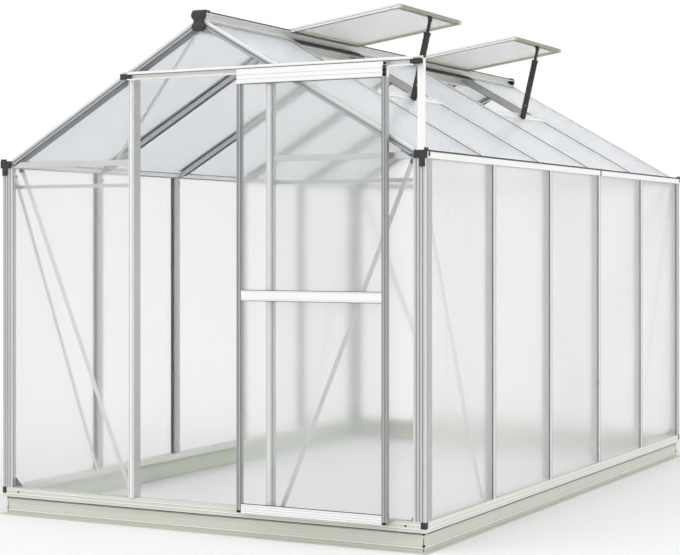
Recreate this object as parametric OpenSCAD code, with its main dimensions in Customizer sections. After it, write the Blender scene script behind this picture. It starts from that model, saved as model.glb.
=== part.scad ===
// Walk-in garden greenhouse: aluminium glazing bars and twin-wall polycarbonate
// panes on a folded steel foundation frame, with a sliding door in the front
// gable and two hinged roof vents in the right-hand slope.
// X runs across the front, Y from the front gable to the back, Z up.
// The origin is on the ground, under the middle of the house.

/* [Overall] */
// Width over the outer faces of the side walls
frame_w = 1900; // [1700:10:2300]
// Length over the outer faces of the two gables
frame_l = 3100; // [2500:10:3800]
// Height from the ground to the top of the ridge beam
ridge_h = 1985; // [1850:5:2400]
// Height from the ground to the top of the gutters
eave_h = 1436; // [1300:2:1550]
// Number of glazing bays along each side
bays = 5; // [4:1:7]

/* [Foundation] */
// Height of the steel foundation frame
base_h = 108; // [90:1:200]
// Thickness of the folded steel
base_t = 2; // [1.5:0.5:4]
// Width of the foundation's foot flange
base_foot = 25; // [15:1:50]
// How far the foundation's face stands back from the wall plane
base_setback = 15; // [12:1:20]
// Height of the sill's outer face, which laps over the foundation
sill_lap = 39; // [25:1:60]
// Thickness of the sill's top plate
sill_t = 3; // [2:0.5:5]

/* [Glazing bars] */
// Width of a bar's outer cap
cap_w = 26; // [18:1:40]
// Thickness of a bar's cap and web
bar_t = 3; // [2:0.5:4]
// Depth of the wall bars, from cap to inner lip
wall_depth = 38; // [30:1:60]
// Depth of the roof bars, from cap to inner lip
roof_depth = 34; // [28:1:50]
// Width of a bar's inner lip
lip_w = 14; // [10:1:24]
// Width of each face of a corner post
corner_w = 50; // [44:1:70]
// Thickness of the polycarbonate panes
pane_t = 4; // [3:0.5:6]

/* [Gutters and ridge] */
// Height of a gutter
gutter_h = 29; // [20:1:45]
// Width of a gutter
gutter_w = 52; // [46:1:70]
// How far a gutter stands out beyond the wall plane
gutter_out = 7; // [3:1:8]
// Height of the ridge beam above the roof plane
ridge_top = 19; // [14:1:30]
// Half width of the ridge beam's top plate
ridge_half = 30; // [20:1:45]
// Depth of the ridge beam
ridge_depth = 80; // [70:1:110]

/* [Doorway] */
// Distance from the middle of the doorway to the outer edge of a door post
door_half = 321.5; // [280:1:340]
// Width of a door post's face
door_post_w = 23; // [20:1:40]
// How far the door posts stand in front of the gable
door_post_out = 10; // [8:1:20]
// Height of the door track's underside
track_z = 1737; // [1660:1:1750]
// Height of the door track
track_h = 25; // [22:1:40]
// Depth of the door track
track_depth = 18; // [16:1:30]
// How far the track reaches past the left door post's outer edge
track_over = 28; // [20:1:60]

/* [Door] */
// Width of the door leaf
door_w = 627; // [560:1:660]
// Middle of the door leaf, as it stands part open
door_x = 500; // [300:5:560]
// Height of the leaf's lower edge above the ground
door_z = 96; // [90:1:110]
// Thickness of the door leaf
door_t = 20; // [16:1:30]
// Face width of the door's two stiles
stile_w = 20; // [15:1:40]
// Height of the leaf's bottom rail
door_bottom_h = 33; // [20:1:60]
// Height of the leaf's middle rail
door_mid_h = 37; // [20:1:60]
// Height of the middle rail's lower edge above the ground
door_mid_z = 890; // [700:5:1100]
// Height of the leaf's top rail, below the track
door_top_h = 33; // [20:1:60]
// Diameter of a door roller
roller_d = 15; // [12:0.5:16]
// Distance of each roller from the middle of the leaf
roller_x = 240; // [180:5:270]

/* [Roof vents] */
// Length of a vent, from hinge to free edge
vent_l = 512; // [400:5:560]
// Height of a vent's frame
vent_h = 16; // [12:1:24]
// Face width of a vent's frame
vent_rail = 20; // [15:1:30]
// How far a vent is raised above level
vent_open = 8.2; // [0:0.1:12]
// Width of a vent stay
stay_w = 28; // [16:1:36]
// Thickness of a vent stay
stay_t = 8; // [4:1:12]
// Diameter of the holes in a vent stay
stay_hole = 7; // [4:0.5:9]

/* [Braces] */
// Width of the flat braces
brace_w = 18; // [12:1:25]
// Thickness of the flat braces
brace_t = 2; // [1.5:0.5:3]
// Height of the tie bars beside the doorway
tie_z = 1331; // [1100:1:1340]
// Height of a tie bar's face
tie_h = 14; // [10:1:25]

/* [Hidden] */

$fn = 48;

// Colours of the real materials
steel_beige = [0.77, 0.78, 0.71];
mill_finish = [0.86, 0.86, 0.84];
blue_grey = [0.55, 0.58, 0.63];
black_plastic = [0.16, 0.15, 0.14];
clear_pane = [0.93, 0.95, 0.97, 0.4];

// Gap left where two pieces slide together or meet end on
fit = 0.3;
// Gap left around a pane
pane_gap = 0.5;
// Larger than the house, for trimming
far = frame_l + frame_w + ridge_h;

half_w = frame_w / 2;
half_l = frame_l / 2;

// The end posts' middles stand this far inside the gable planes
end_inset = 20;
pitch = (frame_l - 2 * end_inset) / bays;
function bar_y(i) = -half_l + end_inset + i * pitch;
bar_numbers = [1 : bays - 1];
vent_bays = [for (b = [1 : 2 : bays - 2]) b];
plain_bays = [for (b = [0 : bays - 1]) if (len([for (v = vent_bays) if (v == b) 1]) == 0) b];

// Wall heights
sill_top = base_h + sill_t;
wall_top = eave_h - gutter_h;

// The roof's outer plane: its height over the ridge and at the wall plane
roof_drop = 18.5;
roof_apex = ridge_h - ridge_top;
roof_foot = eave_h - roof_drop;
roof_angle = atan((roof_apex - roof_foot) / half_w);
function roof_z(x) = roof_apex - abs(x) * tan(roof_angle);
// Depth below the roof plane, measured straight down
function plumb(d) = d / cos(roof_angle);

// Gutter section
gutter_t = 3;
gutter_x1 = half_w + gutter_out;
gutter_x0 = gutter_x1 - gutter_w;
end_cap_t = 6;
// Depth from the roof plane to the underside of its panes
pane_under = bar_t + pane_t;
// The gutter's inner wall stays under the roof panes, which drip into it
gutter_in_h = min(gutter_h - 6,
                  roof_z(gutter_x0 + gutter_t) - plumb(pane_under) - fit - wall_top);
pane_drip = 20;
pane_end_x = gutter_x0 + pane_drip;
// The roof bars end short of the gutters and of the wall bars
roof_end_x = min(gutter_x0, half_w - wall_depth) - fit;

// Ridge section
ridge_web = 4;
ridge_plate = 6;
ridge_wing = 40;
ridge_foot = 28;
hinge_r = 4;
hinge_x = ridge_half + 3;
hinge_z = ridge_h - hinge_r;
// The ridge beam ends just inside the gable panes
ridge_end = half_l - bar_t - pane_t - pane_gap;

// Gable rafter section
rafter_face = 25;
rafter_lip = 15;
rafter_in = 35;
rafter_flange = 72;

// Door track and leaf planes, as Y of their front faces
post_front = -half_l - door_post_out;
track_front = post_front - track_depth;
track_t = 4;
hang_gap = 6;
hang_t = 4;
hang_low = 8;
door_front = track_front - hang_gap - hang_t;
track_x0 = -door_half - track_over;
track_x1 = half_w - 5;
track_back = 8;
track_cap = 40;
door_x0 = door_x - door_w / 2;
// The leaf's top rail ends this far under the track
track_clear = 5;
door_top = track_z - track_clear;
stile_top = door_top - door_top_h;

// Vent opening
vent_lap = 42;
vent_sill_x = hinge_x + vent_l * cos(roof_angle) - vent_lap;
vent_sill_up = 14;

// ---------- shared shapes ----------

// A box between two corners
module block(a, b) {
    translate(a) cube(b - a);
}

// Repeats its children on the left side too
module both_sides() {
    children();
    mirror([1, 0, 0]) children();
}

// Repeats its children at the back gable too
module both_ends() {
    children();
    mirror([0, 1, 0]) children();
}

// Section of a glazing bar: its outer face on the line y = 0
module bar_section(depth) {
    translate([-cap_w / 2, -bar_t]) square([cap_w, bar_t]);
    translate([-bar_t / 2, -depth]) square([bar_t, depth]);
    translate([-lip_w / 2, -depth]) square([lip_w, 2]);
}

// A section raised from one height to another
module upright(z0, z1) {
    translate([0, 0, z0]) linear_extrude(z1 - z0) children();
}

// Lays out children in the right-hand slope: X down the slope from the
// apex, Z out of the roof
module on_slope() {
    translate([0, 0, roof_apex]) rotate([0, roof_angle, 0]) children();
}

// Runs a section down the slope, at the given place along the house
module slope_run(y, length) {
    on_slope() translate([0, y, 0]) rotate([0, 90, 0]) rotate([0, 0, 90])
        linear_extrude(length) children();
}

// Keeps the part between two plumb planes
module between_x(x0, x1) {
    intersection() {
        children();
        block([x0, -far, 0], [x1, far, far]);
    }
}

// Everything under the right and left roof planes, at a depth below them
module under_roof(d) {
    rotate([90, 0, 0]) linear_extrude(far, center = true) polygon([
        [-far, -far], [far, -far], [far, roof_apex - plumb(d) - far * tan(roof_angle)],
        [0, roof_apex - plumb(d)],
        [-far, roof_apex - plumb(d) - far * tan(roof_angle)]
    ]);
}

// Whole length of a slope, with some to trim off
slope_l = half_w / cos(roof_angle) + 40;

// A plate in the plane of the front gable, its outer face at a depth
module gable_plate(depth, thickness) {
    translate([0, -half_l + depth + thickness, 0]) rotate([90, 0, 0])
        linear_extrude(thickness) children();
}

// A flat bar from one point to another in a plane
module flat_bar(a, b, width) {
    run = b - a;
    translate(a) rotate(atan2(run[1], run[0])) translate([0, -width / 2])
        square([norm(run), width]);
}

// ---------- foundation ----------

base_x = half_w - base_setback;
base_y = half_l - base_setback;
rib_out = 3;

sill_leg_t = 2;
sill_leg_h = 23;
// The foundation's top lip ends just short of the sill's inner leg
base_lip = wall_depth - sill_leg_t - fit - base_setback;

// Section of the foundation: its face on the line x = 0, inside at -x
module base_section() {
    translate([-base_t, 0]) square([base_t, base_h]);
    square([base_foot, base_t]);
    translate([-base_lip, base_h - base_t]) square([base_lip, base_t]);
    for (rib = [[16, 2], [53, 9]])
        translate([0, rib[0]]) square([rib_out, rib[1]]);
}

module base_end() {
    color(steel_beige) intersection() {
        translate([0, -base_y, 0]) rotate([90, 0, -90]) linear_extrude(far, center = true)
            base_section();
        linear_extrude(base_h) polygon([
            [0, -base_y + base_x], [base_x + base_foot, -base_y - base_foot],
            [-base_x - base_foot, -base_y - base_foot]
        ]);
    }
}

module base_side() {
    color(steel_beige) intersection() {
        translate([base_x, 0, 0]) rotate([90, 0, 0]) linear_extrude(far, center = true)
            base_section();
        linear_extrude(base_h) polygon([
            [base_x + base_foot, -base_y - base_foot + fit], [base_x + base_foot, base_y + base_foot - fit],
            [0, base_y - base_x - fit], [0, -base_y + base_x + fit]
        ]);
    }
}

module base_front() { base_end(); }
module base_back() { mirror([0, 1, 0]) base_end(); }
module base_sides() { both_sides() base_side(); }

plug_w = 20;
plug_h = 25;

// The corner that a plastic plug fills
module plug_corner() {
    block([half_w - plug_w, -half_l, sill_top - plug_h], [half_w, -half_l + plug_w, sill_top]);
}

module base_corner_plugs() {
    color(black_plastic) both_sides() both_ends() difference() {
        plug_corner();
        block([0, -base_y - fit, 0], [base_x + fit, 0, base_h]);
    }
}

// Section of the sill: outer face on x = 0, inside at -x, ground at y = 0
module sill_section() {
    translate([-wall_depth, base_h]) square([wall_depth, sill_t]);
    translate([-sill_leg_t, sill_top - sill_lap]) square([sill_leg_t, sill_lap]);
    translate([-wall_depth, base_h - sill_leg_h]) square([sill_leg_t, sill_leg_h]);
}

module sill_end() {
    color(mill_finish) difference() {
        translate([0, -half_l, 0]) rotate([90, 0, -90]) linear_extrude(frame_w, center = true)
            sill_section();
        both_sides() plug_corner();
        both_sides() block([half_w - wall_depth, -half_l + wall_depth - 3, 0], [half_w + 1, 0, base_h]);
    }
}

module sill_side() {
    sill_y = half_l - wall_depth;
    color(mill_finish) difference() {
        translate([half_w, 0, 0]) rotate([90, 0, 0])
            linear_extrude(2 * (half_l - 2 - fit), center = true) sill_section();
        both_ends() block([half_w - wall_depth - 1, sill_y - fit, base_h - 30], [half_w - 2.01, far, far]);
        both_ends() block([half_w - 3, sill_y - fit, base_h], [half_w + 1, far, far]);
        both_ends() plug_corner();
    }
}

module sill_front() { sill_end(); }
module sill_back() { mirror([0, 1, 0]) sill_end(); }
module sill_sides() { both_sides() sill_side(); }

// ---------- walls ----------

groove_w = 4;
groove_d = 1;

// Section of a corner post, with its outer corner at the origin
module corner_section() {
    difference() {
        union() {
            square([wall_depth, wall_depth]);
            square([corner_w, bar_t]);
            square([bar_t, corner_w]);
        }
        translate([bar_t, bar_t]) square(wall_depth - 2 * bar_t);
        for (i = [1 : 3]) {
            translate([i * corner_w / 4 - groove_w / 2, 0]) square([groove_w, groove_d]);
            translate([0, i * corner_w / 4 - groove_w / 2]) square([groove_d, groove_w]);
        }
    }
}

module corner_post() {
    color(mill_finish) translate([half_w, -half_l, 0]) upright(sill_top, wall_top)
        mirror([1, 0]) corner_section();
}

module corner_posts_front() { both_sides() corner_post(); }
module corner_posts_back() { mirror([0, 1, 0]) both_sides() corner_post(); }

tube_w = door_post_w - 7;

// Section of the right door post: X from the doorway, Y into the house
module door_post_section() {
    translate([door_half - door_post_w, post_front]) difference() {
        square([tube_w, wall_depth + door_post_out]);
        translate([2, bar_t]) square([tube_w - 4, wall_depth + door_post_out - bar_t - 2]);
    }
    translate([door_half - door_post_w, post_front]) square([door_post_w, bar_t]);
    translate([door_half - 8, -half_l]) square([8, bar_t]);
}

module door_post() {
    inner_y = -half_l + rafter_in - bar_t - 1;
    color(mill_finish) difference() {
        upright(sill_top, ridge_h) door_post_section();
        difference() {
            block([0, -far, sill_top], [far, far, far]);
            under_roof(rafter_face + fit);
        }
        difference() {
            block([0, inner_y, sill_top], [far, far, far]);
            under_roof(roof_depth + fit);
        }
    }
}

module door_posts() { both_sides() door_post(); }

// Middle of the posts in the back gable
back_post_x = door_half - door_post_w / 2;

module back_posts() {
    color(mill_finish) both_sides() difference() {
        translate([back_post_x, half_l, 0]) upright(sill_top, ridge_h) bar_section(wall_depth);
        difference() {
            block([0, 0, sill_top], [far, far, far]);
            under_roof(rafter_face + fit);
        }
        difference() {
            block([0, 0, sill_top], [far, half_l - rafter_in + bar_t + 1, far]);
            under_roof(roof_depth + fit);
        }
    }
}

module wall_bars() {
    color(mill_finish) for (i = bar_numbers)
        translate([half_w, bar_y(i), 0]) rotate([0, 0, -90])
            upright(sill_top, wall_top) bar_section(wall_depth);
}

module wall_bars_right() { wall_bars(); }
module wall_bars_left() { mirror([1, 0, 0]) wall_bars(); }

// ---------- eaves ----------

module gutter_section() {
    translate([gutter_x0, wall_top]) square([gutter_w, gutter_t]);
    translate([gutter_x1 - gutter_t, wall_top]) square([gutter_t, gutter_h]);
    translate([gutter_x0, wall_top]) square([gutter_t, gutter_in_h]);
}

module gutters() {
    color(mill_finish) both_sides() rotate([90, 0, 0])
        linear_extrude(frame_l, center = true) gutter_section();
}

tongue_w = 22;
tongue_h = 30;
tongue_in = 9;
bump_w = 14;
bump_h = 8;
bump_x1 = gutter_x1 - 2;

module gutter_end_cap() {
    color(black_plastic) {
        cap_y = -half_l - end_cap_t;
        tongue_x1 = gutter_x1 - tongue_in;
        block([gutter_x0, cap_y, wall_top], [gutter_x1, -half_l, eave_h]);
        block([tongue_x1 - tongue_w, cap_y, wall_top - tongue_h], [tongue_x1, -half_l, wall_top]);
        block([bump_x1 - bump_w, cap_y, eave_h], [bump_x1, -half_l + bump_w, eave_h + bump_h]);
    }
}

module gutter_end_caps() { both_sides() both_ends() gutter_end_cap(); }

eave_bar_h = 23;
eave_web_z = wall_top + 10;
eave_lip_t = 2;
eave_lip_reach = 7;

// Bar across a gable at eave height, from one x to another
module eave_bar(x0, x1) {
    lip_y = -half_l + wall_depth - eave_lip_t;
    color(mill_finish) intersection() {
        union() {
            block([x0, -half_l, wall_top], [x1, -half_l + bar_t, wall_top + eave_bar_h]);
            block([x0, -half_l, eave_web_z], [x1, lip_y, eave_web_z + bar_t]);
            block([x0, lip_y, eave_web_z - eave_lip_reach],
                  [x1, lip_y + eave_lip_t, eave_web_z + eave_lip_reach + bar_t]);
        }
        under_roof(roof_depth + fit);
    }
}

module front_eave_bars() { both_sides() eave_bar(door_half + fit, roof_end_x); }

module back_eave_bars() {
    gap = cap_w / 2 + fit;
    mirror([0, 1, 0]) {
        both_sides() eave_bar(back_post_x + gap, roof_end_x);
        eave_bar(-back_post_x + gap, back_post_x - gap);
    }
}

module front_tie_bars() {
    color(mill_finish) both_sides()
        block([door_half - door_post_w + tube_w + fit, -half_l + wall_depth - 4, tie_z - tie_h / 2],
              [half_w - wall_depth - fit, -half_l + wall_depth - 0.5, tie_z + tie_h / 2]);
}

header_h = 22;
header_z = track_z + 3;
header_web_z = header_z + 6;
header_depth = wall_depth - 8;

module door_header() {
    inner_x = door_half - door_post_w - fit;
    color(mill_finish) {
        block([-inner_x, -half_l, header_z], [inner_x, -half_l + bar_t, header_z + header_h]);
        block([-inner_x, -half_l, header_web_z],
              [inner_x, -half_l + header_depth, header_web_z + bar_t]);
    }
}

// ---------- braces ----------

// How far the braces' ends stand off the corners they run to
brace_low = 8;
brace_side_low = 10;
brace_side_in = 32;
brace_post_in = 14;
brace_corner_in = 65;
brace_high = 6;
brace_ridge_x = 64;
brace_eave_in = 22;

module gable_braces() {
    color(mill_finish) both_ends() both_sides() gable_plate(wall_depth, brace_t)
        flat_bar([door_half + brace_post_in, base_h - brace_low],
                 [half_w - brace_corner_in, wall_top + brace_high], brace_w);
}

module side_braces() {
    plane_x = half_w - wall_depth - brace_t;
    color(mill_finish) both_sides() both_ends() translate([plane_x, 0, 0])
        rotate([90, 0, 90]) linear_extrude(brace_t)
            flat_bar([-half_l + wall_depth - brace_post_in, wall_top - brace_post_in],
                     [bar_y(1) - brace_side_in, base_h - brace_side_low], brace_w);
}

module roof_braces() {
    color(mill_finish) both_sides() both_ends() on_slope()
        translate([0, 0, -roof_depth - brace_t]) linear_extrude(brace_t)
            flat_bar([brace_ridge_x, -half_l + rafter_in - brace_high],
                     [(roof_end_x - brace_eave_in) / cos(roof_angle), bar_y(1)], brace_w);
}

// ---------- roof ----------

// The ridge beam's right half, to be mirrored
module ridge_half_section() {
    translate([0, ridge_h - ridge_plate]) square([ridge_half, ridge_plate]);
    translate([hinge_x, hinge_z]) circle(hinge_r);
    translate([ridge_half - 2, hinge_z - 2]) square([5, 4]);
    translate([0, ridge_h - ridge_depth]) square([ridge_web / 2, ridge_depth]);
    translate([0, ridge_h - ridge_depth]) square([ridge_foot / 2, 3]);
    polygon([
        [0, roof_apex], [ridge_wing, roof_z(ridge_wing)],
        [ridge_wing, roof_z(ridge_wing) + plumb(bar_t)], [0, roof_apex + plumb(bar_t)]
    ]);
}

module ridge_beam() {
    color(mill_finish) rotate([90, 0, 0]) linear_extrude(2 * ridge_end, center = true) {
        ridge_half_section();
        mirror([1, 0]) ridge_half_section();
    }
}

// Face of the ridge end cap: a wide head and a foot that meet at a waist
module ridge_cap_face() {
    top = ridge_h + 8;
    waist = ridge_h - 33;
    bottom = waist - 43;
    hull() for (side = [-1, 1]) {
        translate([side * 15, top - 16]) circle(16, $fn = 32);
        translate([side * 13, waist + 6]) circle(8, $fn = 32);
    }
    hull() for (side = [-1, 1]) {
        translate([side * 13, waist - 5]) circle(8, $fn = 32);
        translate([side * 19, waist - 16]) circle(10, $fn = 32);
        translate([side * 15, bottom + 9]) circle(9, $fn = 32);
    }
}

ridge_cap_t = 14;
// The hood over the ridge beam's end: how far it reaches each way, its height
hood_out = 5;
hood_in = 30;
hood_h = 7;

module ridge_end_cap() {
    color(black_plastic) {
        gable_plate(-ridge_cap_t, ridge_cap_t) ridge_cap_face();
        block([-ridge_half, -half_l - hood_out, ridge_h],
              [ridge_half, -half_l + hood_in, ridge_h + hood_h]);
    }
}

module ridge_end_caps() { both_ends() ridge_end_cap(); }

// Section of a gable rafter: X into the house, Y out of the roof
module rafter_face_section() { translate([0, -rafter_face]) square([bar_t, rafter_face]); }
module rafter_inner_section() {
    translate([bar_t, -bar_t]) square([rafter_lip - bar_t, bar_t]);
    translate([bar_t, -pane_under - fit - bar_t]) square([rafter_flange - bar_t, bar_t]);
    translate([rafter_in - bar_t, -roof_depth]) square([bar_t, roof_depth - pane_under - fit]);
}

module rafter() {
    color(blue_grey) {
        between_x(fit / 2, roof_end_x) slope_run(-half_l, slope_l) rafter_face_section();
        between_x(ridge_web / 2 + fit, roof_end_x) difference() {
            slope_run(-half_l, slope_l) union() {
                rafter_inner_section();
                rafter_face_section();
            }
            rafter_notch();
        }
    }
}

// Room for the ridge beam's foot
module rafter_notch() {
    block([0, -far, 0], [ridge_foot / 2 + 1, far, ridge_h - ridge_depth + 4]);
}

module front_rafters() { both_sides() rafter(); }
module back_rafters() { mirror([0, 1, 0]) both_sides() rafter(); }

module roof_bars() {
    color(mill_finish) for (i = bar_numbers)
        between_x(ridge_web / 2 + fit, roof_end_x) slope_run(bar_y(i), slope_l)
            bar_section(roof_depth);
}

module roof_bars_right() { roof_bars(); }
module roof_bars_left() { mirror([1, 0, 0]) roof_bars(); }

// ---------- roof vents ----------

// Lays out children at a raised vent's hinge, X towards its free edge
module on_vent() {
    translate([hinge_x, 0, hinge_z]) rotate([0, -vent_open, 0]) children();
}

// Middle of a bay along the house
function bay_y(b) = bar_y(b) + pitch / 2;

sill_x = vent_sill_x / cos(roof_angle);

vent_sill_down = 8;
vent_sill_apron = 22;
vent_sill_lip = 16;

module vent_sills() {
    color(mill_finish) for (b = vent_bays) on_slope() {
        y0 = bar_y(b) + cap_w / 2 + fit;
        y1 = bar_y(b + 1) - cap_w / 2 - fit;
        block([sill_x, y0, -pane_under - vent_sill_down], [sill_x + bar_t, y1, vent_sill_up]);
        block([sill_x, y0, -bar_t], [sill_x + vent_sill_apron, y1, 0]);
        block([sill_x, y0, -pane_under - fit - bar_t],
              [sill_x + vent_sill_lip, y1, -pane_under - fit]);
    }
}

vent_side_gap = 2;
vent_w = pitch - 2 * vent_side_gap;
vent_x0 = hinge_r + fit;
// How far a vent's pane is let into its frame
rebate = 5;

module vent_frames() {
    color(mill_finish) for (b = vent_bays) on_vent() translate([0, bay_y(b), 0]) difference() {
        block([vent_x0, -vent_w / 2, -vent_h / 2], [vent_l, vent_w / 2, vent_h / 2]);
        block([vent_x0 + vent_rail, -vent_w / 2 + vent_rail, -vent_h],
              [vent_l - vent_rail, vent_w / 2 - vent_rail, vent_h]);
        block([vent_x0 + vent_rail - rebate, -vent_w / 2 + vent_rail - rebate, -pane_t / 2],
              [vent_l - vent_rail + rebate, vent_w / 2 - vent_rail + rebate, vent_h]);
    }
}

module vent_panes() {
    inset = vent_rail - rebate + fit;
    color(clear_pane) for (b = vent_bays) on_vent() translate([0, bay_y(b), 0])
        block([vent_x0 + inset, -vent_w / 2 + inset, -pane_t / 2],
              [vent_l - inset, vent_w / 2 - inset, pane_t / 2]);
}

// How far each end of a stay stands off the piece that carries it
stay_off = 14;
// The stay's foot stands this far down the slope from the vent sill
stay_in = bar_t + stay_w / 2 + 4;
// Holes in a stay: the first one's distance from the foot, and their pitch
stay_hole_0 = 20;
stay_pitch = 26;
// The brackets that hold a stay's ends
stay_lug_w = 28;
stay_lug_l = 14;
stay_lug_h = 9;
// The stay's two ends, seen from the front: over the sill and under the vent
stay_foot = [
    (sill_x + stay_in) * cos(roof_angle) + stay_off * sin(roof_angle),
    roof_apex - (sill_x + stay_in) * sin(roof_angle) + stay_off * cos(roof_angle)
];
stay_head = [
    hinge_x + (vent_l - vent_rail / 2) * cos(vent_open) + (vent_h / 2 + stay_off) * sin(vent_open),
    hinge_z + (vent_l - vent_rail / 2) * sin(vent_open) - (vent_h / 2 + stay_off) * cos(vent_open)
];

module vent_stays() {
    run = stay_head - stay_foot;
    holes = floor((norm(run) - 2 * stay_hole_0) / stay_pitch);
    color(black_plastic) for (b = vent_bays) translate([0, bay_y(b), 0]) {
        rotate([90, 0, 0]) linear_extrude(stay_t, center = true) difference() {
            union() {
                flat_bar(stay_foot, stay_head, stay_w);
                translate(stay_foot) circle(stay_w / 2 - 1);
                translate(stay_head) circle(stay_w / 2 - 1);
            }
            for (i = [0 : holes])
                translate(stay_foot + run * (stay_hole_0 + stay_pitch * i) / norm(run))
                    circle(d = stay_hole);
        }
        on_slope() block([sill_x + stay_in - 8, -stay_lug_w / 2, 0],
                         [sill_x + stay_in - 8 + stay_lug_l, stay_lug_w / 2, stay_lug_h]);
        on_vent() block([vent_l - 2 - stay_lug_l - 2, -stay_lug_w / 2, -vent_h / 2 - stay_lug_h],
                        [vent_l - 2, stay_lug_w / 2, -vent_h / 2]);
    }
}

// ---------- panes ----------

edge = bar_t / 2 + pane_gap;

module panes_side_wall() {
    color(clear_pane) for (b = [0 : bays - 1]) {
        y0 = b == 0 ? -half_l + wall_depth + pane_gap : bar_y(b) + edge;
        y1 = b == bays - 1 ? half_l - wall_depth - pane_gap : bar_y(b + 1) - edge;
        block([half_w - bar_t - pane_t, y0, sill_top], [half_w - bar_t, y1, wall_top]);
    }
}

module panes_right_wall() { panes_side_wall(); }
module panes_left_wall() { mirror([1, 0, 0]) panes_side_wall(); }

corner_pane_x = half_w - wall_depth - pane_gap;

// A pane low in a gable, between two x, up to the eave bar
module low_pane(x0, x1) {
    color(clear_pane) difference() {
        block([x0, -half_l + bar_t, sill_top], [x1, -half_l + bar_t + pane_t, eave_web_z - fit]);
        both_sides() block([roof_end_x, -far, wall_top], [far, far, far]);
    }
}

// A pane high in a gable, from a height to the rafters
module high_pane(x0, x1, z0) {
    color(clear_pane) intersection() {
        block([x0, -half_l + bar_t, z0], [x1, -half_l + bar_t + pane_t, ridge_h]);
        under_roof(pane_under + bar_t + 2 * fit);
    }
}

door_pane_x = door_half - door_post_w + tube_w + fit;

module panes_front_wall() { both_sides() low_pane(door_pane_x, corner_pane_x); }

module panes_front_gable() {
    both_sides() high_pane(door_pane_x, roof_end_x, eave_web_z + bar_t + fit);
    inner_x = door_half - door_post_w - fit;
    high_pane(-inner_x, inner_x, header_web_z + bar_t + fit);
}

module panes_back_wall() {
    mirror([0, 1, 0]) {
        both_sides() low_pane(back_post_x + edge, corner_pane_x);
        low_pane(-back_post_x + edge, back_post_x - edge);
    }
}

module panes_back_gable() {
    mirror([0, 1, 0]) {
        both_sides() high_pane(back_post_x + edge, roof_end_x, eave_web_z + bar_t + fit);
        high_pane(-back_post_x + edge, back_post_x - edge, eave_web_z + bar_t + fit);
    }
}

// A roof pane in one bay, from one x to another
module roof_pane(b, x0, x1) {
    y0 = b == 0 ? -half_l + bar_t + pane_gap : bar_y(b) + edge;
    y1 = b == bays - 1 ? half_l - bar_t - pane_gap : bar_y(b + 1) - edge;
    color(clear_pane) between_x(x0, x1) on_slope()
        block([0, y0, -pane_under], [slope_l, y1, -bar_t]);
}

module panes_roof_left() {
    mirror([1, 0, 0]) for (b = [0 : bays - 1])
        roof_pane(b, ridge_web / 2 + pane_gap, pane_end_x);
}

module panes_roof_right() {
    for (b = plain_bays) roof_pane(b, ridge_web / 2 + pane_gap, pane_end_x);
    for (b = vent_bays) color(clear_pane) between_x(0, pane_end_x) on_slope()
        block([sill_x + bar_t + fit, bar_y(b) + edge, -pane_under],
              [slope_l, bar_y(b + 1) - edge, -bar_t]);
}

// ---------- door track ----------

module door_track() {
    color(mill_finish) {
        block([track_x0, post_front - bar_t, track_z],
              [track_x1, post_front, track_z + track_h + track_back]);
        block([track_x0, track_front, track_z], [track_x1, post_front, track_z + track_t]);
        block([track_x0, track_front, track_z + track_h - track_t],
              [track_x1, post_front, track_z + track_h]);
    }
}

module door_track_caps() {
    color(black_plastic) for (x = [track_x0, track_x1 - track_cap])
        block([x, track_front, track_z + track_t + fit],
              [x + track_cap, post_front - bar_t - fit, track_z + track_h - track_t - fit]);
}

module door_track_post() {
    post_w = 25;
    post_t = 2;
    post_x1 = track_x1 + post_t;
    post_back = -half_l + 5;
    post_top = track_z + track_h;
    color(mill_finish) difference() {
        block([post_x1 - post_w, post_front, eave_h], [post_x1, post_back, post_top]);
        block([post_x1 - post_w + post_t, post_front + post_t, eave_h - 1],
              [post_x1 - post_t, post_back - post_t, post_top - post_t]);
        gutter_bump_room();
    }
}

// Room beside the end cap's bump
module gutter_bump_room() {
    block([bump_x1 - bump_w - fit, -half_l - end_cap_t - 2, 0],
          [gutter_x1 + 1, far, eave_h + bump_h + fit]);
}

// ---------- door ----------

// A box in the door leaf: x from its left edge, z from the ground, y from its face
module leaf_block(x0, x1, y0, y1, z0, z1) {
    block([door_x0 + x0, door_front + y0, z0], [door_x0 + x1, door_front + y1, z1]);
}

module door_stiles() {
    color(mill_finish) {
        leaf_block(0, stile_w, 0, door_t, door_z, stile_top);
        leaf_block(door_w - stile_w, door_w, 0, door_t, door_z, stile_top);
    }
}

module door_top_rail() {
    color(mill_finish) {
        leaf_block(0, door_w, 0, door_t, stile_top, door_top);
        leaf_block(0, door_w, 0, hang_t, stile_top, track_z + track_h - hang_low);
    }
}

module door_rails() {
    color(mill_finish) {
        leaf_block(stile_w, door_w - stile_w, 0, door_t, door_z, door_z + door_bottom_h);
        leaf_block(stile_w, door_w - stile_w, 0, door_t, door_mid_z, door_mid_z + door_mid_h);
    }
}

module door_panes() {
    y0 = (door_t - pane_t) / 2;
    color(clear_pane) {
        leaf_block(stile_w + fit, door_w - stile_w - fit, y0, y0 + pane_t,
                   door_z + door_bottom_h + fit, door_mid_z - fit);
        leaf_block(stile_w + fit, door_w - stile_w - fit, y0, y0 + pane_t,
                   door_mid_z + door_mid_h + fit, stile_top - fit);
    }
}

module door_rollers() {
    wheel_t = 7;
    axle_d = 6;
    axle_l = track_depth + hang_gap - bar_t - 3;
    color(black_plastic) for (side = [-1, 1])
        translate([door_x + side * roller_x, door_front + hang_t, track_z + track_t + fit + roller_d / 2])
            rotate([-90, 0, 0]) {
                cylinder(h = axle_l, d = axle_d);
                translate([0, 0, axle_l - wheel_t]) cylinder(h = wheel_t, d = roller_d);
            }
}

// ---------- output ----------

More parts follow.
